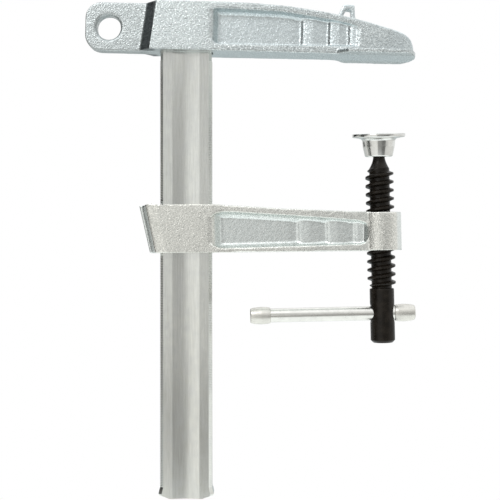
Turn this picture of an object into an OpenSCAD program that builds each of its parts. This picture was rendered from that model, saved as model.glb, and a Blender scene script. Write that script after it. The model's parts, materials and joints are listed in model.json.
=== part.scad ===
// Bar clamp: a cast jaw fixed on a flat rail, a cast arm sliding on it, and a
// tommy-bar spindle with a ball-jointed pad, for holding a welding cable on the work.
// Millimetres. +Z runs up the rail, +X from the rail to the nose of the jaw.
// The origin is on the clamping face of the fixed jaw, above the spindle.

/* [Clamp] */
// Toe-in of the fixed jaw, nose down, in degrees
jaw_toe_in = 1.4; // [0:0.1:1.6]
// Lean of the sliding arm and its spindle on the rail, in degrees
arm_lean = 1.25; // [0.5:0.05:1.5]
// Distance from the clamping face to the pad's face, as stored
pad_gap = 45.2; // [42:0.1:48]

/* [Rail] */
// Width of the rail over its two narrow edges
rail_w = 31; // [29:0.5:31]
// Thickness of the rail
rail_t = 11; // [9:0.5:11]
// Centre of the rail's width, behind the origin
rail_x = -113.75; // [-116:0.25:-112]
// Lowest point of the rail, below the clamping face
rail_drop = 262; // [240:0.5:300]
// Bevel along the four long corners
rail_bevel = 2; // [1:0.1:2.5]
// Depth of the shallow hollow in each broad face
groove_depth = 0.9; // [0.5:0.1:1.5]
// Half width of that hollow
groove_half = 8; // [6:0.5:10]

/* [Fixed jaw] */
// Height of the jaw over the rail
jaw_h = 29; // [28:0.1:29.5]
// Thickness of the jaw over the rail
jaw_t = 22; // [21:0.5:24]
// Thickness of the thin web between the pockets
web_t = 8; // [6:0.5:9]
// Thickness of the cable lug
lug_t = 8.4; // [8:0.2:12]
// Diameter of the hole in the cable lug
lug_hole_d = 14.4; // [12:0.1:16]
// Width of the anvil across the jaw
anvil_w = 33; // [30:0.5:34]

/* [Sliding arm] */
// Thickness of the arm over the rail
arm_t = 22; // [21:0.5:24]
// Thickness of the arm beside the boss
arm_tip_t = 18; // [17:0.5:20]
// Free play of the arm on each broad face of the rail
arm_play = 0.35; // [0.3:0.05:0.5]
// Outer diameter of the spindle boss
boss_d = 24.6; // [24:0.1:28]

/* [Spindle] */
// Major diameter of the thread
thread_d = 16.9; // [16:0.1:17]
// Root diameter of the thread
root_d = 12; // [11:0.1:13]
// Pitch of the thread
pitch = 5; // [4:0.25:6]
// Diameter of the plain head that holds the tommy bar
head_d = 14.5; // [14:0.1:16]
// Diameter of the neck below the ball
neck_d = 6.9; // [6:0.1:7]
// Diameter of the ball in the pressure pad
ball_d = 10.4; // [10:0.1:10.6]
// Diameter of the hole for the tommy bar
bar_hole_d = 9.1; // [9:0.1:9.6]

/* [Pressure pad] */
// Diameter of the pad's flange
pad_d = 31.5; // [28:0.1:34]
// Height of the pad
pad_h = 13.7; // [13.5:0.1:14]
// Tilt of the pad on its ball as stored, front edge down, in degrees
pad_tilt = 6; // [0:0.5:6]

/* [Tommy bar] */
// Diameter of the tommy bar
bar_d = 8.4; // [7.5:0.1:8.4]
// Length of the tommy bar over its end knobs
bar_l = 98.3; // [90:0.1:110]
// Greatest diameter of the end knobs
knob_d = 10.5; // [10:0.1:11]
// Length of each end knob
knob_l = 12; // [10:0.1:13]

/* [Hidden] */
$fn = 64;

iron = [0.78, 0.81, 0.80];
zinc = [0.72, 0.73, 0.71];
black = [0.17, 0.16, 0.14];
bright = [0.82, 0.83, 0.83];

// Stations along the spindle, in the arm's own leaning frame, Z down from the anvil
pad_face = -pad_gap;
pad_foot = pad_face - pad_h;
ball_z = pad_face - 6.8;
neck_end = pad_foot - 0.6;
thread_top = neck_end - 8;
thread_end = -136.7;
head_top = thread_end - 0.9;
head_end = -169.8;
hole_z = -152.3;
boss_top = -92.2;
boss_end = -114.8;
arm_mid = -100;

// The tommy bar, along X, with its right knob resting by the head
bar_right = head_d/2 + 0.05 + knob_l;
bar_left = bar_right - bar_l;
spigot_d = 6;
spigot_l = 8;

// The castings: steps along the pocket floors, draft of the pocket walls, and the lug,
// whose top and bottom stay off the beam's own faces
step_slant = 7.5;
jaw_scallops = [-45.1, -29.1, -17.4];
arm_scallops = [-49, -32, -15.6];
jaw_draft = 0.12;
arm_draft = 0.28;
anvil_tip = 22.6;
anvil_r = 25.5;
beam_low = 0.2;
lug_end = -174;
lug_r = 9.3;
lug_low = -0.15;
lug_high = jaw_h - 0.4;
lug_hole_chamfer = 1.1;
window_x = rail_x - 2.2;
window_w = rail_w + 1.3;

module front(t) rotate([90, 0, 0]) linear_extrude(height = t, center = true) children();
module plan(h) linear_extrude(height = h, center = true) children();
module lean() rotate([0, -arm_lean, 0]) children();
module toe_in() rotate([0, jaw_toe_in, 0]) children();
module both_faces() for (s = [0, 1]) mirror([0, s, 0]) children();

// Depth of the hollow in a broad face at a place across it
function hollow(x) = groove_depth*(1 - pow(x/groove_half, 2));

module rail_section() {
  hw = rail_w/2;
  ht = rail_t/2;
  b = rail_bevel;
  face = [for (x = [-groove_half : groove_half/4 : groove_half]) [x, ht - hollow(x)]];
  polygon(concat([[-hw, -ht + b], [-hw + b, -ht]], [for (p = face) [p[0], -p[1]]],
    [[hw - b, -ht], [hw, -ht + b], [hw, ht - b], [hw - b, ht]],
    [for (p = face) [-p[0], p[1]]], [[-hw + b, ht], [-hw, ht - b]]));
}

module rail_body() {
  difference() {
    translate([rail_x, 0, -rail_drop + 6]) linear_extrude(height = rail_drop + 34) rail_section();
    toe_in() translate([rail_x, 0, jaw_h - 0.2 + 20]) cube([80, 40, 40], center = true);
  }
  // Upset foot that stops the arm
  translate([rail_x, 0, -rail_drop]) front(rail_t)
    polygon([[-11.7, 0], [11.7, 0], [16, 1.6], [16.4, 2.6], [16, 4.6], [rail_w/2, 6.4],
             [-rail_w/2, 6.4], [-16, 4.6], [-16.4, 2.6], [-16, 1.6]]);
}

module rail() color(zinc) rail_body();

module jaw_outline() polygon([
  [-145, beam_low], [21.3, beam_low], [21.6, 3.5], [20.9, 6.7], [19.2, 10.2], [17.4, 11.9], [14.4, 13.65],
  [9.6, 15.2], [3.1, 16.9], [-8.7, 20], [-23.5, 23.2], [-31.1, 24.5], [-41.7, 26], [-53.5, 27.4],
  [-71.7, jaw_h - 0.45], [-90, jaw_h - 0.05], [-105, jaw_h], [-145, jaw_h - 0.2]]);

module jaw_plan() polygon([
  [-140.3, -lug_t/2 + 0.6], [-133.2, -jaw_t/2], [-98, -jaw_t/2], [-28, -9.45], [4, -8.9],
  [14, -7.4], [20, -4.6], [22, -2], [22, 2], [20, 4.6], [14, 7.4], [4, 8.9], [-28, 9.45],
  [-98, jaw_t/2], [-133.2, jaw_t/2], [-140.3, lug_t/2 - 0.6]]);

// Carries a shape in XZ into the front side, its roof or floor closing in with depth
module drafted(slope)
  multmatrix([[1, 0, 0, 0], [0, 1, 0, 0], [0, slope, 1, slope*jaw_t/2]]) front(40) children();

// The same with a steeper fall from a given depth on, which rounds the foot of the wall
module drafted_and_filleted(slope, steep, from) intersection() {
  drafted(slope) children();
  drafted(steep) translate([0, (slope - steep)*from]) children();
}

// Floor of a pocket, in steps: a shallow dip, a quick rise and a crest that falls away to the next dip
function scallop(x, low, rise, dip) = [
  [x - 6, low], [x - 3, low - 0.7*dip], [x - 1.3, low - dip], [x + 0.7, low + 0.8*rise], [x + 2.4, low + rise],
  [x + 6, low + 1.25*rise]];

module jaw_pocket() both_faces() intersection() {
  drafted_and_filleted(-jaw_draft, -1.05, 5.2) polygon([
    [-104, 0], [-104, 20.6], [-101.6, 22.8], [-98, 24.6], [-95, 24.9], [-82, 24.8], [-58, 24.2],
    [-46, 22.8], [-29, 20.4], [-20, 18.9], [-12, 16.6], [-7, 14.6], [-7, 0]]);
  drafted(jaw_draft) polygon([
    [-104, 40], [-104, 12], [-101.3, 9.6], [-98.9, 7.2], [-96.6, 5], [-93, 4.2], [-46, 4.4], [-20, 4.7],
    [-12, 5], [-9.4, 7.4], [-8.4, 12], [-8.4, 40]]);
  plan(80) mirror([0, 1]) polygon(concat(
    [[-101.2, 12], [-100.2, jaw_t/2], [-98, 10.4], [-96.7, 7.8], [-95.4, 4.8], [-94.2, web_t/2]],
    [for (i = [0 : 2]) each scallop(jaw_scallops[i], web_t/2 + 1.35*i, 1.35, 0.4)],
    [[-12.4, 8.9], [-8.5, 9.6], [-8, 12]]));
}

module lug_corner() difference() {
  translate([lug_end - 1, -1]) square([lug_r + 1, lug_r + 1]);
  translate([lug_end + lug_r, lug_r]) circle(r = lug_r);
}

module jaw_lug() difference() {
  front(lug_t) difference() {
    translate([lug_end, lug_low]) square([40, lug_high - lug_low]);
    translate([0, lug_low]) lug_corner();
    translate([0, lug_high]) mirror([0, 1]) lug_corner();
  }
  translate([-160.2, 0, 13.8]) rotate([90, 0, 0]) {
    cylinder(d = lug_hole_d, h = lug_t + 2, center = true);
    for (s = [0, 1]) mirror([0, 0, s]) translate([0, 0, lug_t/2 - lug_hole_chamfer])
      cylinder(d1 = lug_hole_d, d2 = lug_hole_d + 2.4*lug_hole_chamfer, h = 1.2*lug_hole_chamfer);
  }
}

// Striking face of the nose, wider than the beam behind it
module anvil() intersection() {
  translate([0, 0, 1.3]) plan(2.6) polygon([
    [-30, -8], [-24.7, -9.3], [-18.5, -anvil_w/2], [14, -anvil_w/2], [30, -anvil_w/2],
    [30, anvil_w/2], [14, anvil_w/2], [-18.5, anvil_w/2], [-24.7, 9.3], [-30, 8]]);
  // Shallow curve of the tip, falling back to the corners
  translate([anvil_tip - anvil_r, 0, 0]) cylinder(r = anvil_r, h = 20, center = true);
}

// Small cast eye on the jaw's back
module eye() front(6.4) difference() {
  polygon([[-24.9, 22], [-21.4, 30.2], [-20.4, 31], [-15, 31], [-14.2, 30.2], [-14, 24.6],
           [-13.5, 22.9], [-11.8, 21], [-11.8, 18], [-24.9, 18]]);
  polygon([[-21.7, 23], [-19.3, 28], [-16.4, 28], [-16.2, 22]]);
}

module fixed_jaw() color(iron) difference() {
  toe_in() {
    difference() {
      intersection() {
        front(jaw_t + 2) jaw_outline();
        translate([-135.7, 0, jaw_h/2]) rotate([0, step_slant, 0]) translate([135.7, 0, 0]) plan(90) jaw_plan();
      }
      jaw_pocket();
    }
    jaw_lug();
    anvil();
    eye();
  }
  translate([rail_x, 0, -20]) linear_extrude(height = 90) rail_section();
}

module arm_outline() polygon([
  [-143.6, -85.4], [-140, -85], [-137, -84.3], [-135, -84.3], [-132, -85.1], [-99, -85.5], [-90, -86.2],
  [-60, -88.7], [-20, -91.2], [-8, -91.8], [0, -92.2], [0, boss_end], [-8, -115], [-100, -114],
  [-137.8, -113.5]]);

module arm_plan() polygon([
  [-141.2, -1.4], [-141, -3.4], [-138.8, -3.7], [-136.6, -9.2], [-135.6, -9.8], [-130.4, -arm_t/2],
  [-98, -arm_t/2], [-92, -9.4], [-6, -arm_tip_t/2], [2, -arm_tip_t/2], [2, arm_tip_t/2], [-6, arm_tip_t/2],
  [-92, 9.4], [-98, arm_t/2], [-130.4, arm_t/2], [-135.6, 9.8], [-136.6, 9.2], [-138.8, 3.7],
  [-141, 3.4], [-141.2, 1.4]]);

module arm_pocket() both_faces() intersection() {
  drafted_and_filleted(-arm_draft, -1.2, 5) polygon([
    [-104, -130], [-104, -94.6], [-100.4, -92.3], [-98, -90.8], [-94, -89.6], [-88, -89.8],
    [-53, -92.6], [-30, -94.6], [-14, -96.2], [-9.6, -98], [-8.6, -101], [-8.6, -130]]);
  drafted_and_filleted(arm_draft/2, 1.1, 5.2) polygon([
    [-104, -80], [-104, -108.4], [-100.4, -109.4], [-96.6, -111.2], [-93, -111.7], [-13, -111.2],
    [-10, -110.2], [-8.6, -107], [-8.6, -80]]);
  translate([0, 0, arm_mid]) plan(80) mirror([0, 1]) polygon(concat(
    [[-103.6, 12], [-102.8, arm_t/2], [-100.2, 10.3], [-98.4, 8.4], [-95.6, 4.6], [-94.4, web_t/2]],
    [for (i = [0 : 2]) each scallop(arm_scallops[i], web_t/2 + 0.7*i, 0.8, 0.4)],
    [[-10.2, 6.9], [-8.4, 9], [-8, 12]]));
}

module sliding_arm() color(iron) lean() difference() {
  union() {
    difference() {
      intersection() {
        front(arm_t + 2) arm_outline();
        translate([-138, 0, arm_mid]) rotate([0, -10.6, 0]) translate([138, 0, 0]) plan(80) arm_plan();
      }
      arm_pocket();
    }
    translate([0, 0, boss_end]) cylinder(d = boss_d, h = boss_top - boss_end);
  }
  // Window for the rail, wide enough for the arm's lean
  translate([window_x - window_w/2, -rail_t/2 - arm_play, -130]) cube([window_w, rail_t + 2*arm_play, 60]);
  // The nut thread's envelope, and the lead-in at each mouth
  translate([0, 0, boss_end - 1]) cylinder(d = thread_d + 0.7, h = boss_top - boss_end + 2);
  translate([0, 0, boss_top - 0.8]) cylinder(d1 = thread_d + 0.7, d2 = thread_d + 2.5, h = 0.9);
  translate([0, 0, boss_end - 0.1]) cylinder(d1 = thread_d + 2.5, d2 = thread_d + 0.7, h = 0.9);
}

// Number of ridges, and the profile of one, from the root out to the crest and back
ridges = floor((thread_top - thread_end - 3)/pitch);
function ridge(z) = [[root_d/2, z - 1.7], [thread_d/2 - 0.35, z - 0.85], [thread_d/2, z - 0.6],
                     [thread_d/2, z + 0.6], [thread_d/2 - 0.35, z + 0.85], [root_d/2, z + 1.7]];

module threaded_shank() rotate_extrude() polygon(concat(
  [[0, thread_end - 0.5], [root_d/2, thread_end - 0.5]],
  [for (i = [0 : ridges]) each ridge(thread_end + 2.2 + i*pitch)],
  [[root_d/2, thread_top], [5.1, thread_top + 1.6], [4.3, thread_top + 3.4], [3.75, thread_top + 5.4],
   [neck_d/2, neck_end], [neck_d/2, ball_z - 2], [0, ball_z - 2]]));

module spindle() color(black) lean() difference() {
  union() {
    threaded_shank();
    translate([0, 0, ball_z]) sphere(d = ball_d);
    rotate_extrude() polygon([
      [0, head_end], [head_d/2 - 1.5, head_end], [head_d/2, head_end + 1.5], [head_d/2, head_top - 0.9],
      [root_d/2, head_top + 0.2], [root_d/2, thread_end + 0.2], [0, thread_end + 0.2]]);
  }
  translate([0, 0, hole_z]) rotate([0, 90, 0]) {
    cylinder(d = bar_hole_d, h = 30, center = true);
    for (s = [0, 1]) mirror([0, 0, s]) translate([0, 0, head_d/2 - 1.6])
      cylinder(d1 = bar_hole_d, d2 = bar_hole_d + 3.4, h = 2);
  }
}

// Round-section ring under the ball that keeps the pad on
module retaining_ring() color(bright) lean() translate([0, 0, ball_z - 4.45])
  rotate_extrude() translate([4.6, 0]) circle(d = 1.3);

// On the ball, tilted about X
module on_ball()
  lean() translate([0, 0, ball_z]) rotate([pad_tilt, 0, 0]) translate([0, 0, -ball_z]) children();

module pressure_pad() color(bright) on_ball() difference() {
  rotate_extrude() polygon([
    [0, pad_face], [pad_d/2 - 0.5, pad_face], [pad_d/2, pad_face - 0.5], [pad_d/2, pad_face - 2.1],
    [pad_d/2 - 0.5, pad_face - 2.6], [12.6, pad_face - 3.1], [11, pad_face - 3.8], [10.1, pad_face - 4.8],
    [9.7, pad_face - 6.2], [8.6, pad_foot + 1.6], [7.9, pad_foot + 0.4], [7.2, pad_foot], [0, pad_foot]]);
  translate([0, 0, ball_z]) sphere(d = ball_d + 0.7);
  translate([0, 0, pad_foot + 0.8]) cylinder(d = 13.2, h = ball_z - 2.6 - pad_foot - 0.8);
  translate([0, 0, pad_foot - 1]) cylinder(d = 9.4, h = 4);
}

module on_bar() lean() translate([0, 0, hole_z]) rotate([0, 90, 0]) children();

module tommy_bar() color(bright) on_bar() {
  translate([0, 0, bar_left + knob_l]) cylinder(d = bar_d, h = bar_l - 2*knob_l);
  translate([0, 0, bar_left + knob_l - spigot_l]) cylinder(d = spigot_d, h = bar_l - 2*knob_l + 2*spigot_l);
}

module knob() difference() {
  rotate_extrude() polygon([
    [0, 0], [bar_d/2, 0], [4.75, 0.5], [5.1, 2.2], [knob_d/2, 4.4], [knob_d/2, 6.4], [5.1, 8.6],
    [4.75, 10.4], [4.3, knob_l - 0.4], [3.8, knob_l], [0, knob_l]]);
  translate([0, 0, -1]) cylinder(d = spigot_d, h = spigot_l + 1);
}

module bar_knob_left() color(bright) on_bar() translate([0, 0, bar_left + knob_l]) mirror([0, 0, 1]) knob();

module bar_knob_right() color(bright) on_bar() translate([0, 0, bar_right - knob_l]) knob();

fixed_jaw();
rail();
sliding_arm();
spindle();
retaining_ring();
pressure_pad();
tommy_bar();
bar_knob_left();
bar_knob_right();
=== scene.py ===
"""A sliding-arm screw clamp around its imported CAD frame.

The two castings keep their CAD shape and get a cast skin from modifiers. The rail, spindle, pad, ring
and tommy bar are finer meshes that stand for their CAD nodes: teeth on the rail, a true helical thread.
Metres; +Z up the rail, +X to the nose, +Y to the back.
"""
import json
import math

import bpy
from mathutils import Matrix, Vector


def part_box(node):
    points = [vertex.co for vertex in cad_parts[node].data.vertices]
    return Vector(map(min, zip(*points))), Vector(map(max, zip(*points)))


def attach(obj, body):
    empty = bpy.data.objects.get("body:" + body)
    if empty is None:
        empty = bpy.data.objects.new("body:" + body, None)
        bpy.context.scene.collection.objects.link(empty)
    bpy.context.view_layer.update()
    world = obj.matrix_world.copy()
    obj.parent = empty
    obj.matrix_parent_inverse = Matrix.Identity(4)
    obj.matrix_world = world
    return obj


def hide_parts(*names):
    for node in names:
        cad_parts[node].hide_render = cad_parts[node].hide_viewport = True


MM = 0.001

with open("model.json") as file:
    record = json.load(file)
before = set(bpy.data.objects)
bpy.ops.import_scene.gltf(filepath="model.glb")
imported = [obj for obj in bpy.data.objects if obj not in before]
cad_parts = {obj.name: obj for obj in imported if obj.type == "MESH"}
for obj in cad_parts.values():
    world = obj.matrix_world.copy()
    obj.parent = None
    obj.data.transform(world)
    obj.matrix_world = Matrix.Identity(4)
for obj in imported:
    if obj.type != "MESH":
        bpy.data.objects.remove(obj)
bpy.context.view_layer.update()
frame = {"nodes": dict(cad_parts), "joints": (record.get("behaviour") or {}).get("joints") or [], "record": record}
nodes = frame["nodes"]
joints = {joint["name"]: joint for joint in frame["joints"]}


# ---- Axes and spans read from the frame -----------------------------------------------------------

def turned_to(axis):
    """Rotation that carries +Z to an axis."""
    return Vector((0, 0, 1)).rotation_difference(axis).to_matrix().to_4x4()


spindle_axis = Vector(joints["screw_turn"]["axis"])
bar_axis = Vector(joints["bar_slide"]["axis"])
mounts = {mount["name"]: mount for mount in frame["record"]["mounts"]}
pad_axis = Vector(mounts["pad_face"]["axis"])
spindle_turn = turned_to(spindle_axis)
ball_place = Vector(joints["pad_tilt"]["pos_m"])
bar_place = Vector(joints["screw_turn"]["pos_m"])


def span(node, axis, start=Vector((0, 0, 0))):
    """Lowest and highest place of a CAD node along an axis through a point."""
    places = [axis.dot(vertex.co - start) for vertex in nodes[node].data.vertices]
    return min(places), max(places)


# ---- Mesh helpers ---------------------------------------------------------------------------------

def make_object(name, vertices, faces, material, sharp_angle=35):
    """A smooth-shaded mesh object with its sharp edges marked by angle."""
    mesh = bpy.data.meshes.new(name)
    mesh.from_pydata(vertices, [], faces)
    mesh.validate()
    mesh.polygons.foreach_set("use_smooth", [True] * len(mesh.polygons))
    mesh.set_sharp_from_angle(angle=math.radians(sharp_angle))
    mesh.materials.append(material)
    piece = bpy.data.objects.new(name, mesh)
    bpy.context.scene.collection.objects.link(piece)
    return piece


def rounded(corners, steps=6):
    """A profile of (radius, height) points from corners of (radius, height, fillet)."""
    points = []
    for i, (r, z, fillet) in enumerate(corners):
        here = Vector((r, z))
        if fillet == 0 or i in (0, len(corners) - 1):
            points.append((r, z))
            continue
        back = Vector(corners[i - 1][:2]) - here
        on = Vector(corners[i + 1][:2]) - here
        room = 0.49 * min(back.length, on.length)
        reach = min(fillet * math.tan((math.pi - back.angle(on)) / 2), room)
        start = here + back.normalized() * reach
        end = here + on.normalized() * reach
        for k in range(steps + 1):
            t = k / steps
            point = start * (1 - t) ** 2 + here * 2 * t * (1 - t) + end * t ** 2
            points.append((point.x, point.y))
    return points


def lathe(name, profile, material, segments=112):
    """A solid turned about Z from a closed profile that starts and ends on the axis."""
    vertices, faces, rings = [], [], []
    for r, z in profile:
        if r < 1e-7:
            rings.append([len(vertices)])
            vertices.append((0, 0, z))
            continue
        rings.append(list(range(len(vertices), len(vertices) + segments)))
        for k in range(segments):
            angle = 2 * math.pi * k / segments
            vertices.append((r * math.cos(angle), r * math.sin(angle), z))
    for low, high in zip(rings, rings[1:]):
        join_rings(faces, low, high)
    return make_object(name, vertices, faces, material)


def join_rings(faces, low, high):
    """Faces between two rings, either of which may be a single point."""
    count = max(len(low), len(high))
    for k in range(count):
        n = (k + 1) % count
        if len(low) == 1 and len(high) == 1:
            continue
        if len(low) == 1:
            faces.append((low[0], high[n], high[k]))
        elif len(high) == 1:
            faces.append((low[k], low[n], high[0]))
        else:
            faces.append((low[k], low[n], high[n], high[k]))


def lay(piece, turn, place=Vector((0, 0, 0))):
    """Turns and moves the mesh of a piece made about the origin, not the object."""
    piece.data.transform(Matrix.Translation(place) @ turn)
    return piece


def stand_for(piece, node, body):
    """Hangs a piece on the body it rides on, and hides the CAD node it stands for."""
    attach(piece, body)
    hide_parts(node)


def smoothstep(low, high, x):
    """0 below low, 1 above high, and a smooth curve between."""
    t = min(max((x - low) / (high - low), 0), 1)
    return t * t * (3 - 2 * t)


# ---- Materials ------------------------------------------------------------------------------------

HOLLOW_FROM = 9.4 * MM
HOLLOW_FULL = 8.2 * MM
PIT_COLOUR = (0.24, 0.25, 0.25)
LUG_COLOUR = (0.30, 0.32, 0.32)
# Painted shade for the slanted step beside the lug, standing in for the dark it reflects.
STEP_PAINTED_SHADE = (0.15, 0.165, 0.17)

class Shading:
    """A small helper that adds and links shader nodes in a tree."""

    def __init__(self, tree):
        self.tree = tree

    def add(self, kind, **values):
        node = self.tree.nodes.new(kind)
        for key, value in values.items():
            setattr(node, key, value)
        return node

    def link(self, source, target):
        self.tree.links.new(source, target)

    def feed(self, value, socket):
        """Sets a number or colour on a socket, or links an output to it."""
        if isinstance(value, (int, float)):
            socket.default_value = value
        elif isinstance(value, tuple):
            socket.default_value = (*value, 1)
        else:
            self.link(value, socket)

    def maths(self, operation, first, second=0.0):
        node = self.add("ShaderNodeMath", operation=operation)
        self.feed(first, node.inputs[0])
        self.feed(second, node.inputs[1])
        return node.outputs[0]

    def spread(self, value, low, high, to_low=0.0, to_high=1.0):
        node = self.add("ShaderNodeMapRange")
        for key, number in (("From Min", low), ("From Max", high), ("To Min", to_low), ("To Max", to_high)):
            node.inputs[key].default_value = number
        self.link(value, node.inputs["Value"])
        return node.outputs["Result"]

    def mix(self, factor, first, second):
        node = self.add("ShaderNodeMix", data_type="RGBA")
        self.link(factor, node.inputs["Factor"])
        self.feed(first, node.inputs[6])
        self.feed(second, node.inputs[7])
        return node.outputs[2]

    def split(self, vector):
        node = self.add("ShaderNodeSeparateXYZ")
        self.link(vector, node.inputs["Vector"])
        return node.outputs


class Finish(Shading):
    """Nodes of one metal finish, laid out in the object's own coordinates."""

    def __init__(self, name):
        self.material = bpy.data.materials.new(name)
        self.material.use_nodes = True
        super().__init__(self.material.node_tree)
        self.shader = self.tree.nodes["Principled BSDF"]
        self.place = self.add("ShaderNodeTexCoord").outputs["Object"]

    def stretched(self, scale):
        mapping = self.add("ShaderNodeMapping")
        mapping.inputs["Scale"].default_value = scale
        self.link(self.place, mapping.inputs["Vector"])
        return mapping.outputs["Vector"]

    def noise(self, size, detail=3, roughness=0.55, vector=None):
        """Noise with features of about the given size in metres, from 0 to 1."""
        node = self.add("ShaderNodeTexNoise")
        node.inputs["Scale"].default_value = 1 / size
        node.inputs["Detail"].default_value = detail
        node.inputs["Roughness"].default_value = roughness
        self.link(vector or self.place, node.inputs["Vector"])
        return node.outputs["Fac"]

    def bump(self, height, strength, distance, below=None):
        node = self.add("ShaderNodeBump")
        node.inputs["Strength"].default_value = strength
        self.feed(distance, node.inputs["Distance"])
        self.link(height, node.inputs["Height"])
        if below:
            self.link(below, node.inputs["Normal"])
        return node.outputs["Normal"]

    def finish(self, metallic, **sockets):
        self.shader.inputs["Metallic"].default_value = metallic
        for key, value in sockets.items():
            self.feed(value, self.shader.inputs[key.replace("_", " ")])
        return self.material


def cast_zinc(name, light, dark, hollow_painted_reflection, grain=1.0, lug=False):
    """Zinc plate over a rough casting, with pebbled grain, pits and clouds.

    Faces near the middle plane are hollows: smoother, and painted bluer as a painted reflection of the pale
    bluish floor. On the casting with the cable lug, the lug is a little darker, and the step beside it is
    painted dark: painted shade for the dark surroundings it reflects.
    """
    m = Finish(name)
    x, y, _ = m.split(m.place)
    depth = m.maths("ABSOLUTE", y)
    pebble = m.noise(0.85 * MM, 3, 0.6)
    coarse = m.noise(2.0 * MM, 3, 0.5)
    cloud = m.noise(12 * MM, 4, 0.62)
    pits = m.spread(m.noise(0.9 * MM, 3), 0.40, 0.28)
    hollow = m.spread(depth, HOLLOW_FROM, HOLLOW_FULL)
    if lug:
        hollow = m.maths("MULTIPLY", hollow, m.spread(x, -120 * MM, -115 * MM))
    colour = m.mix(m.spread(pebble, 0.34, 0.66), dark, light)
    colour = m.mix(m.spread(cloud, 0.35, 0.75, 0, 0.25), colour, tuple(0.85 * part for part in dark))
    colour = m.mix(m.spread(pits, 0, 1, 0, 0.6), colour, PIT_COLOUR)
    # Painted reflection: hollows are painted bluer for the pale bluish floor they reflect.
    colour = m.mix(m.spread(hollow, 0, 1, 0, 0.5), colour, hollow_painted_reflection)
    if lug:
        colour = m.mix(m.spread(x, -133 * MM, -138 * MM, 0, 0.36), colour, LUG_COLOUR)
        # Painted shade: the slanted step between the lug and the jaw face is painted dark.
        outside_lug = m.spread(depth, 4.7 * MM, 5.4 * MM)
        inside_face = m.spread(depth, 10.9 * MM, 10.7 * MM)
        step = m.maths("MULTIPLY", outside_lug, inside_face)
        step = m.maths("MULTIPLY", step, m.spread(x, -131 * MM, -133 * MM))
        colour = m.mix(step, colour, STEP_PAINTED_SHADE)
    normal = m.bump(coarse, 0.45 * grain, 0.35 * MM)
    normal = m.bump(pebble, 0.9 * grain, m.spread(hollow, 0, 1, 0.34 * MM, 0.2 * MM), normal)
    rough = m.spread(pebble, 0.3, 0.7, 0.36, 0.22)
    return m.finish(0.94, Base_Color=colour, Roughness=rough, Normal=normal)


def rolled_zinc(name):
    """Zinc plate over rolled steel, with faint streaks along the rail and small clouds."""
    m = Finish(name)
    streak = m.noise(0.8 * MM, 3, 0.5, m.stretched((1, 1, 0.05)))
    cloud = m.noise(6 * MM, 4, 0.6)
    speck = m.noise(0.6 * MM, 2, 0.6)
    colour = m.mix(m.spread(streak, 0.3, 0.7), (0.68, 0.682, 0.64), (0.76, 0.765, 0.725))
    colour = m.mix(m.spread(cloud, 0.4, 0.7, 0, 0.35), colour, (0.60, 0.61, 0.61))
    normal = m.bump(speck, 0.26, 0.05 * MM, m.bump(streak, 0.05, 0.03 * MM))
    return m.finish(0.95, Base_Color=colour, Roughness=m.spread(cloud, 0.3, 0.7, 0.17, 0.23), Normal=normal)


def black_oxide(name):
    """Oiled black oxide, rubbed a little lighter here and there."""
    m = Finish(name)
    cloud = m.noise(4 * MM, 4, 0.65)
    speck = m.noise(0.5 * MM, 3, 0.6)
    colour = m.mix(m.spread(cloud, 0.4, 0.75), (0.0085, 0.0065, 0.0045), (0.022, 0.017, 0.012))
    normal = m.bump(speck, 0.3, 0.06 * MM)
    rough = m.spread(cloud, 0.3, 0.7, 0.20, 0.36)
    return m.finish(0.2, Base_Color=colour, Roughness=rough, Normal=normal, Specular_IOR_Level=0.24)


def bright_zinc(name, light, roughness, grain=0.08):
    """Bright zinc plate with turning marks too fine to see singly."""
    m = Finish(name)
    cloud = m.noise(5 * MM, 4, 0.6)
    speck = m.noise(0.6 * MM, 3, 0.6)
    colour = m.mix(m.spread(cloud, 0.35, 0.75), light, tuple(0.86 * part for part in light))
    normal = m.bump(speck, grain, 0.05 * MM)
    rough = m.spread(cloud, 0.3, 0.7, roughness, roughness + 0.08)
    return m.finish(1.0, Base_Color=colour, Roughness=rough, Normal=normal)


# The third colour of each casting is a painted bluish reflection for its hollows.
jaw_finish = cast_zinc("cast_jaw", (0.81, 0.855, 0.85), (0.39, 0.43, 0.435), (0.72, 0.79, 0.81), lug=True)
arm_finish = cast_zinc("cast_arm", (0.96, 0.945, 0.885), (0.61, 0.615, 0.575), (0.74, 0.81, 0.82), 0.8)
rail_finish = rolled_zinc("rail_steel")
black_finish = black_oxide("black_steel")
pad_finish = bright_zinc("bright_zinc", (0.79, 0.79, 0.765), 0.10)
bar_finish = bright_zinc("bar_zinc", (0.77, 0.76, 0.72), 0.21, 0.14)
knob_finish = bright_zinc("knob_zinc", (0.70, 0.685, 0.635), 0.36, 0.2)


# ---- Castings: CAD nodes with a cast skin ---------------------------------------------------------

SKIN_CELL = 0.5 * MM
FILLET_PASSES = 5
GRAIN_HEIGHT = 0.14 * MM
grain_texture = bpy.data.textures.new("cast_grain", "CLOUDS")
grain_texture.noise_scale = 1.6 * MM
grain_texture.noise_depth = 2


def cast_skin(node, finish):
    """Rounds every edge as in a mould, and roughens the surface a little."""
    casting = nodes[node]
    casting.data.materials.clear()
    casting.data.materials.append(finish)
    skin = casting.modifiers.new("skin", "REMESH")
    skin.mode = "VOXEL"
    skin.voxel_size = SKIN_CELL
    skin.use_smooth_shade = True
    fillet = casting.modifiers.new("fillet", "SMOOTH")
    fillet.factor = 0.5
    fillet.iterations = FILLET_PASSES
    rough = casting.modifiers.new("grain", "DISPLACE")
    rough.texture = grain_texture
    rough.texture_coords = "LOCAL"
    rough.strength = GRAIN_HEIGHT
    rough.mid_level = 0.5


cast_skin("fixed_jaw", jaw_finish)
cast_skin("sliding_arm", arm_finish)


# ---- Rail: hollow faces, bevelled corners, toothed narrow edges -----------------------------------

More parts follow.
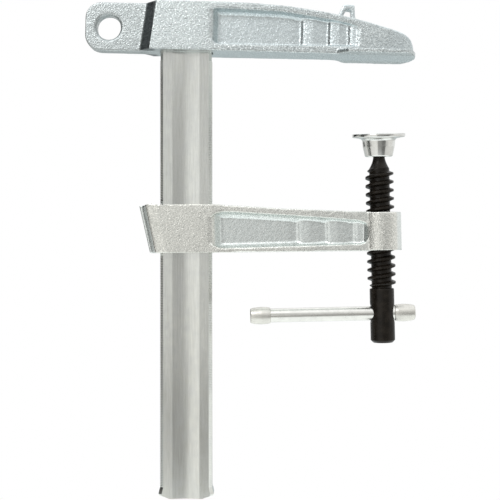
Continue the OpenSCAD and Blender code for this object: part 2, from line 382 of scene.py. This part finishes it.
TOOTH_PITCH = 1.0 * MM
TOOTH_DEPTH = 0.4 * MM
RAIL_BEVEL = 2.0 * MM
HOLLOW_HALF = 8.0 * MM
HOLLOW_DEPTH = 0.9 * MM
HOLLOW_STEPS = 16
FOOT_LEVELS = [part * MM for part in (0, 0.8, 1.6, 2.1, 2.6, 3.6, 4.6)]
FOOT_START = 6.4 * MM
FOOT_REACH = 0.9 * MM
TEETH_END = -2 * MM
RAIL_SHORT = 0.5 * MM
RAIL_SHARP_ANGLE = 9


def rail_outline(half_w, half_t):
    """The rail's cross-section as (x, y, tooth share): both broad faces are hollow."""
    face = []
    for k in range(HOLLOW_STEPS + 1):
        x = HOLLOW_HALF * (2 * k / HOLLOW_STEPS - 1)
        face.append((x, half_t - HOLLOW_DEPTH * (1 - (x / HOLLOW_HALF) ** 2), 0))
    left = [(-half_w, half_t - RAIL_BEVEL, 1), (-half_w + RAIL_BEVEL, half_t, 0)]
    right = [(half_w - RAIL_BEVEL, half_t, 0), (half_w, half_t - RAIL_BEVEL, 1)]
    back = left + face + right
    front = [(-x, -y, tooth) for x, y, tooth in back]
    return back + front


def rail_half_width(height, half_w, usual):
    """Half width over the upset foot, at a height above the rail's end."""
    stations = [(0, half_w - 4.7 * MM), (1.6 * MM, half_w - 0.4 * MM), (2.6 * MM, half_w),
                (4.6 * MM, half_w - 0.4 * MM), (FOOT_START, usual)]
    for (low, w_low), (high, w_high) in zip(stations, stations[1:]):
        if height <= high:
            return w_low + (w_high - w_low) * (height - low) / (high - low)
    return usual


def build_rail():
    low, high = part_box("rail")
    middle = (low.x + high.x) / 2
    half_t = (high.y - low.y) / 2
    widest = (high.x - low.x) / 2
    usual = widest - FOOT_REACH
    outline = rail_outline(usual, half_t)
    top = high.z - RAIL_SHORT
    levels = [low.z + part for part in FOOT_LEVELS]
    tooth = low.z + FOOT_START
    while tooth < TEETH_END:
        levels += [tooth, tooth + 0.5 * TOOTH_PITCH]
        tooth += TOOTH_PITCH
    levels.append(top)
    vertices, faces, rings = [], [], []
    for n, z in enumerate(levels):
        half = rail_half_width(z - low.z, widest, usual)
        in_gap = n >= len(FOOT_LEVELS) and n % 2 == 0 and n < len(levels) - 1
        bite = TOOTH_DEPTH if in_gap else 0
        rings.append(list(range(len(vertices), len(vertices) + len(outline))))
        for x, y, share in outline:
            edge = abs(x) > usual - RAIL_BEVEL - 1e-6
            wide = abs(x) + (half - usual if edge else 0)
            wide = min(wide, half) - bite * share
            vertices.append((middle + math.copysign(wide, x), y, z))
    for lower, upper in zip(rings, rings[1:]):
        join_rings(faces, upper, lower)
    faces.append(tuple(rings[0]))
    faces.append(tuple(reversed(rings[-1])))
    rail = make_object("toothed_rail", vertices, faces, rail_finish, RAIL_SHARP_ANGLE)
    stand_for(rail, "rail", "frame")


build_rail()


# ---- Spindle: ball, neck, helical thread, head with its cross hole --------------------------------

PITCH = 5 * MM
THREAD_R = 8.4 * MM
ROOT_R = 6.0 * MM
NECK_R = 3.45 * MM
HEAD_R = 7.25 * MM
HEAD_LENGTH = 32.2 * MM
HEAD_CHAMFER = 1.5 * MM
THREAD_START = 14.0 * MM
THREAD_GAP = 0.9 * MM
THREAD_STEP = 0.2 * MM
RIDGE_AT = -78.87 * MM
CREST_HALF = 0.45 * MM
RIDGE_HALF = 1.75 * MM
NECK_LENGTH = 7.2 * MM
NECK_STEPS = 12
BALL_STEPS = 24
BAR_HOLE_R = 4.55 * MM
COUNTERSINK = 1.9 * MM
COUNTERSINK_DEPTH = 1.4 * MM


def ridge(height, angle):
    """Share of the full thread height, for a right-hand thread."""
    turns = (height - RIDGE_AT) / PITCH - angle / (2 * math.pi)
    away = abs(turns - round(turns)) * PITCH
    return 1 - smoothstep(CREST_HALF, RIDGE_HALF, away)


def spindle_stations():
    """(height, core radius, thread share) from the head's foot to the top of the ball."""
    low, high = span("spindle", spindle_axis)
    head_top = low + HEAD_LENGTH
    ball_z = -ball_place.length
    ball_r = high - ball_z
    head = rounded([
        (0, low, 0), (HEAD_R - HEAD_CHAMFER, low, 0.3 * MM), (HEAD_R, low + HEAD_CHAMFER, 0.6 * MM),
        (HEAD_R, head_top, 1.0 * MM), (ROOT_R, head_top + 0.25 * MM, 0.2 * MM),
        (ROOT_R, head_top + THREAD_GAP, 0)])
    stations = [(z, r, 0) for r, z in head]
    thread_low = head_top + THREAD_GAP
    thread_high = ball_z - THREAD_START
    count = int((thread_high - thread_low) / THREAD_STEP)
    for k in range(1, count):
        z = thread_low + k * (thread_high - thread_low) / count
        share = smoothstep(thread_low - 0.4 * MM, thread_low + 2.2 * MM, z)
        share *= 1 - smoothstep(thread_high - 2.6 * MM, thread_high + 0.3 * MM, z)
        stations.append((z, ROOT_R, share))
    for k in range(NECK_STEPS + 1):
        t = k / NECK_STEPS
        z = thread_high + t * NECK_LENGTH
        stations.append((z, NECK_R + (ROOT_R - NECK_R) * (1 - t) ** 1.7, 0))
    joint = math.asin(NECK_R / ball_r)
    for k in range(BALL_STEPS + 1):
        angle = joint + (math.pi - joint) * k / BALL_STEPS
        stations.append((ball_z - ball_r * math.cos(angle), ball_r * math.sin(angle), 0))
    return stations


def drill(piece, radius, mouth, reach, place):
    """Cuts a cross hole with countersunk mouths, along X at a place."""
    straight = HEAD_R - COUNTERSINK_DEPTH
    profile = [(0, -reach), (mouth, -reach), (radius, -straight),
               (radius, straight), (mouth, reach), (0, reach)]
    cutter = lathe("cutter", profile, black_finish, 64)
    lay(cutter, Matrix.Rotation(math.pi / 2, 4, "Y"), place)
    cut = piece.modifiers.new("hole", "BOOLEAN")
    cut.object = cutter
    cut.solver = "EXACT"
    bpy.context.view_layer.update()
    graph = bpy.context.evaluated_depsgraph_get()
    mesh = bpy.data.meshes.new_from_object(piece.evaluated_get(graph))
    piece.modifiers.clear()
    piece.data = mesh
    mesh.set_sharp_from_angle(angle=math.radians(35))
    bpy.data.objects.remove(cutter)


def build_spindle():
    segments = 80
    vertices, faces, rings = [], [], []
    for z, core, share in spindle_stations():
        if core < 1e-6:
            rings.append([len(vertices)])
            vertices.append((0, 0, z))
            continue
        rings.append(list(range(len(vertices), len(vertices) + segments)))
        for k in range(segments):
            angle = 2 * math.pi * k / segments
            r = core + share * (THREAD_R - core) * ridge(z, angle) if share else core
            vertices.append((r * math.cos(angle), r * math.sin(angle), z))
    for low, high in zip(rings, rings[1:]):
        join_rings(faces, low, high)
    spindle = make_object("threaded_spindle", vertices, faces, black_finish, 50)
    hole_z = bar_place.dot(spindle_axis)
    drill(spindle, BAR_HOLE_R, BAR_HOLE_R + COUNTERSINK, HEAD_R + 0.4 * MM, Vector((0, 0, hole_z)))
    lay(spindle, spindle_turn)
    stand_for(spindle, "spindle", "screw")


build_spindle()


# ---- Pressure pad and its ring --------------------------------------------------------------------

def build_pad():
    """A turned pad on the ball, made about the ball's centre and tilted as it is stored."""
    foot, face = span("pressure_pad", pad_axis, ball_place)
    flange_r = max(abs(vertex.co.x - ball_place.x) for vertex in nodes["pressure_pad"].data.vertices)
    socket = 5.55 * MM
    mouth = 4.7 * MM
    seat = 6.6 * MM
    lip = 0.8 * MM
    step = -2.4 * MM
    outside = rounded([
        (mouth, foot, 0), (8.2 * MM, foot, 1.4 * MM), (9.5 * MM, foot + 6 * MM, 8 * MM),
        (9.9 * MM, face - 3.1 * MM, 1.9 * MM), (flange_r - 0.2 * MM, face - 2.1 * MM, 0.8 * MM),
        (flange_r, face, 0.7 * MM), (0, face, 0)], 8)
    inside = [(mouth, foot), (mouth, foot + lip), (seat, foot + lip), (seat, step)]
    edge = math.acos(-step / socket)
    for k in range(13):
        angle = edge + (math.pi - edge) * k / 12
        inside.append((socket * math.sin(angle) if k < 12 else 0, -socket * math.cos(angle)))
    profile = list(reversed(inside)) + outside[1:]
    pad = lathe("swivel_pad", profile, pad_finish, 128)
    lay(pad, turned_to(pad_axis), ball_place)
    stand_for(pad, "pressure_pad", "pad")


def build_ring():
    low, high = span("retaining_ring", spindle_axis)
    wire = (high - low) / 2
    centre_z = (high + low) / 2
    centre_r = 4.6 * MM
    around, across = 72, 16
    vertices, faces = [], []
    for i in range(around):
        turn = 2 * math.pi * i / around
        for j in range(across):
            bend = 2 * math.pi * j / across
            r = centre_r + wire * math.cos(bend)
            vertices.append((r * math.cos(turn), r * math.sin(turn), centre_z + wire * math.sin(bend)))
            i2, j2 = (i + 1) % around, (j + 1) % across
            faces.append((i * across + j, i2 * across + j, i2 * across + j2, i * across + j2))
    ring = make_object("wire_ring", vertices, faces, pad_finish)
    lay(ring, spindle_turn)
    stand_for(ring, "retaining_ring", "feed")


build_pad()
build_ring()


# ---- Tommy bar and its knobs ----------------------------------------------------------------------

BAR_R = 4.2 * MM
SPIGOT_R = 3.0 * MM
bar_turn = turned_to(bar_axis)
bar_line = bar_place - bar_axis * bar_place.dot(bar_axis)


def build_bar():
    low, high = span("tommy_bar", bar_axis)
    spigot = 8 * MM
    ends = rounded([
        (0, low, 0), (SPIGOT_R, low, 0.4 * MM),
        (SPIGOT_R, low + spigot, 0), (BAR_R, low + spigot, 0.25 * MM),
        (BAR_R, high - spigot, 0.25 * MM), (SPIGOT_R, high - spigot, 0),
        (SPIGOT_R, high, 0.4 * MM), (0, high, 0)])
    bar = lathe("sliding_bar", ends, bar_finish, 72)
    lay(bar, bar_turn, bar_line)
    stand_for(bar, "tommy_bar", "bar")


def build_knob(node, outwards):
    """A pressed-on barrel end: rounded at the tip, bored for the bar's spigot."""
    low, high = span(node, bar_axis)
    length = high - low
    bore = 8 * MM
    profile = rounded([
        (0, bore, 0), (SPIGOT_R, bore, 0), (SPIGOT_R, 0, 0), (4.7 * MM, 0, 0.2 * MM),
        (5.0 * MM, 1.6 * MM, 1.5 * MM), (5.25 * MM, 5.2 * MM, 9 * MM), (4.95 * MM, 9.2 * MM, 9 * MM),
        (4.35 * MM, length, 1.1 * MM), (0, length, 0)], 8)
    knob = lathe(node + "_end", profile, knob_finish, 72)
    flip = Matrix.Identity(4) if outwards > 0 else Matrix.Rotation(math.pi, 4, "X")
    inner = low if outwards > 0 else high
    lay(knob, bar_turn @ Matrix.Translation((0, 0, inner)) @ flip, bar_line)
    stand_for(knob, node, "bar")


build_bar()
build_knob("bar_knob_left", -1)
build_knob("bar_knob_right", 1)


# ---- Stage, light and camera ----------------------------------------------------------------------
# A ring is a list of (bearing in degrees, level of light).

CAMERA_REACH = 0.545
VIEW_WIDTH = 0.299
VIEW_X = -75.8 * MM
VIEW_Z = -114.6 * MM
FLOOR_Z = -0.42
FLOOR_HALF = 6
FLOOR_NEAR = 0.36
FLOOR_FAR = 0.62
FLOOR_GLOW = (1.20, 1.25, 1.25)
FLOOR_TINT = (1.0, 1.0, 0.975)
FLOOR_TINT_BEHIND = (0.89, 1.0, 1.015)
FARTHEST_FROM = 1.55
FARTHEST_FULL = 1.8
FLOOR_RING = [(-180, 0.56), (-104, 0.75), (-99, 0.10), (-77, 0.10), (-73, 0.85), (-30, 0.95), (-16, 0.88),
              (-13, 0.34), (12, 0.32), (20, 0.19), (42, 0.16), (48, 0.74), (90, 0.80), (180, 0.56)]
FAR_RING = [(-180, 0.56), (-104, 0.75), (-99, 0.10), (-62, 0.10), (-52, 0.90), (-30, 0.98), (-14, 0.92),
            (-7, 0.74), (0, 0.56), (8, 0.52), (20, 0.60), (52, 0.60), (68, 0.90), (120, 0.80), (180, 0.56)]
SKY_TINT = (0.99, 1.0, 0.995)
HORIZON_RING = [(-180, 0.80), (-152, 0.75), (-143, 0.02), (-60, 0.02), (-50, 0.94), (-30, 0.98), (-14, 0.98),
                (-9, 0.95), (-5, 0.80), (-1, 0.56), (4, 0.46), (10, 0.46), (20, 0.52), (30, 0.40), (52, 0.34),
                (68, 0.98), (180, 0.90)]
SKY_RING = [(-180, 0.80), (-152, 0.78), (-143, 0.01), (-56, 0.01), (-46, 0.76), (-30, 0.62), (-14, 0.46),
            (-8, 0.48), (-4, 0.60), (5, 0.94), (10, 1.0), (52, 0.9), (90, 0.84), (180, 0.80)]
OVERHEAD_GLOW = (1.3, 1.32, 1.34)


class Surroundings(Shading):
    """Shader nodes for light that depends on the bearing: 0 is towards the camera, negative to its left."""

    def __init__(self, tree):
        super().__init__(tree)
        tree.nodes.clear()
        self.place = self.add("ShaderNodeTexCoord")

    def by_bearing(self, x, y, stops, tint, tint_behind=None):
        """Colour from (degrees, level) stops round the horizon."""
        bearing = self.maths("ARCTAN2", x, self.maths("MULTIPLY", y, -1.0))
        ring = self.add("ShaderNodeValToRGB")
        elements = ring.color_ramp.elements
        for degrees, _ in stops[1:-1]:
            elements.new((degrees + 180) / 360)
        for element, (degrees, level) in zip(elements, stops):
            hue = tint_behind if tint_behind and abs(degrees) > 120 else tint
            element.color = (*[level * part for part in hue], 1)
        self.link(self.spread(bearing, -math.pi, math.pi), ring.inputs["Fac"])
        return ring.outputs["Color"]

    def white_to_camera(self, colour):
        return self.mix(self.add("ShaderNodeLightPath").outputs["Is Camera Ray"], colour, (1, 1, 1))


def stage_material():
    """A pale floor: white to the camera; in reflections bright nearby, and by bearing farther away."""
    material = bpy.data.materials.new("pale_floor")
    material.use_nodes = True
    s = Surroundings(material.node_tree)
    x, y, _ = s.split(s.place.outputs["Object"])
    reach = s.maths("SQRT", s.maths("ADD", s.maths("MULTIPLY", x, x), s.maths("MULTIPLY", y, y)))
    ring = s.by_bearing(x, y, FLOOR_RING, FLOOR_TINT, FLOOR_TINT_BEHIND)
    colour = s.mix(s.spread(reach, FLOOR_NEAR, FLOOR_FAR), FLOOR_GLOW, ring)
    farthest = s.by_bearing(x, y, FAR_RING, FLOOR_TINT, FLOOR_TINT_BEHIND)
    colour = s.mix(s.spread(reach, FARTHEST_FROM, FARTHEST_FULL), colour, farthest)
    glow = s.add("ShaderNodeEmission")
    s.link(s.white_to_camera(colour), glow.inputs["Color"])
    out = s.add("ShaderNodeOutputMaterial")
    s.link(glow.outputs["Emission"], out.inputs["Surface"])
    return material


def build_stage():
    corners = [(-1, -1), (1, -1), (1, 1), (-1, 1)]
    places = [(x * FLOOR_HALF, y * FLOOR_HALF, FLOOR_Z) for x, y in corners]
    floor = make_object("floor", places, [(0, 1, 2, 3)], stage_material())


def build_world():
    """Soft studio surroundings: dark to the far left, a bright panel left of the camera, grey behind it."""
    world = bpy.data.worlds.new("studio")
    bpy.context.scene.world = world
    world.use_nodes = True
    s = Surroundings(world.node_tree)
    x, y, z = s.split(s.place.outputs["Generated"])
    low = s.by_bearing(x, y, HORIZON_RING, SKY_TINT)
    high = s.by_bearing(x, y, SKY_RING, SKY_TINT)
    colour = s.mix(s.spread(z, 0.5, 0.72), s.mix(s.spread(z, 0.17, 0.25), low, high), OVERHEAD_GLOW)
    background = s.add("ShaderNodeBackground")
    s.link(s.white_to_camera(colour), background.inputs["Color"])
    out = s.add("ShaderNodeOutputWorld")
    s.link(background.outputs[0], out.inputs["Surface"])


def soft_light(name, place, aim, size, power):
    """A square area light aimed at a point."""
    light = bpy.data.lights.new(name, "AREA")
    light.shape = "SQUARE"
    light.size = size
    light.energy = power
    lamp = bpy.data.objects.new(name, light)
    lamp.location = place
    lamp.rotation_euler = (Vector(aim) - Vector(place)).to_track_quat("-Z", "Y").to_euler()
    bpy.context.scene.collection.objects.link(lamp)


def build_camera():
    """A level camera that sees VIEW_WIDTH across at the clamp's middle plane."""
    data = bpy.data.cameras.new("front_camera")
    data.sensor_width = 36
    data.lens = 36 * CAMERA_REACH / VIEW_WIDTH
    camera = bpy.data.objects.new("front_camera", data)
    camera.location = (VIEW_X, -CAMERA_REACH, VIEW_Z)
    camera.rotation_euler = (math.pi / 2, 0, 0)
    bpy.context.scene.collection.objects.link(camera)
    bpy.context.scene.camera = camera


build_camera()
build_stage()
build_world()
soft_light("key", (-0.5, -0.75, 0.55), (-0.07, 0, -0.1), 0.4, 2.5)
bpy.context.scene.view_settings.view_transform = "Standard"
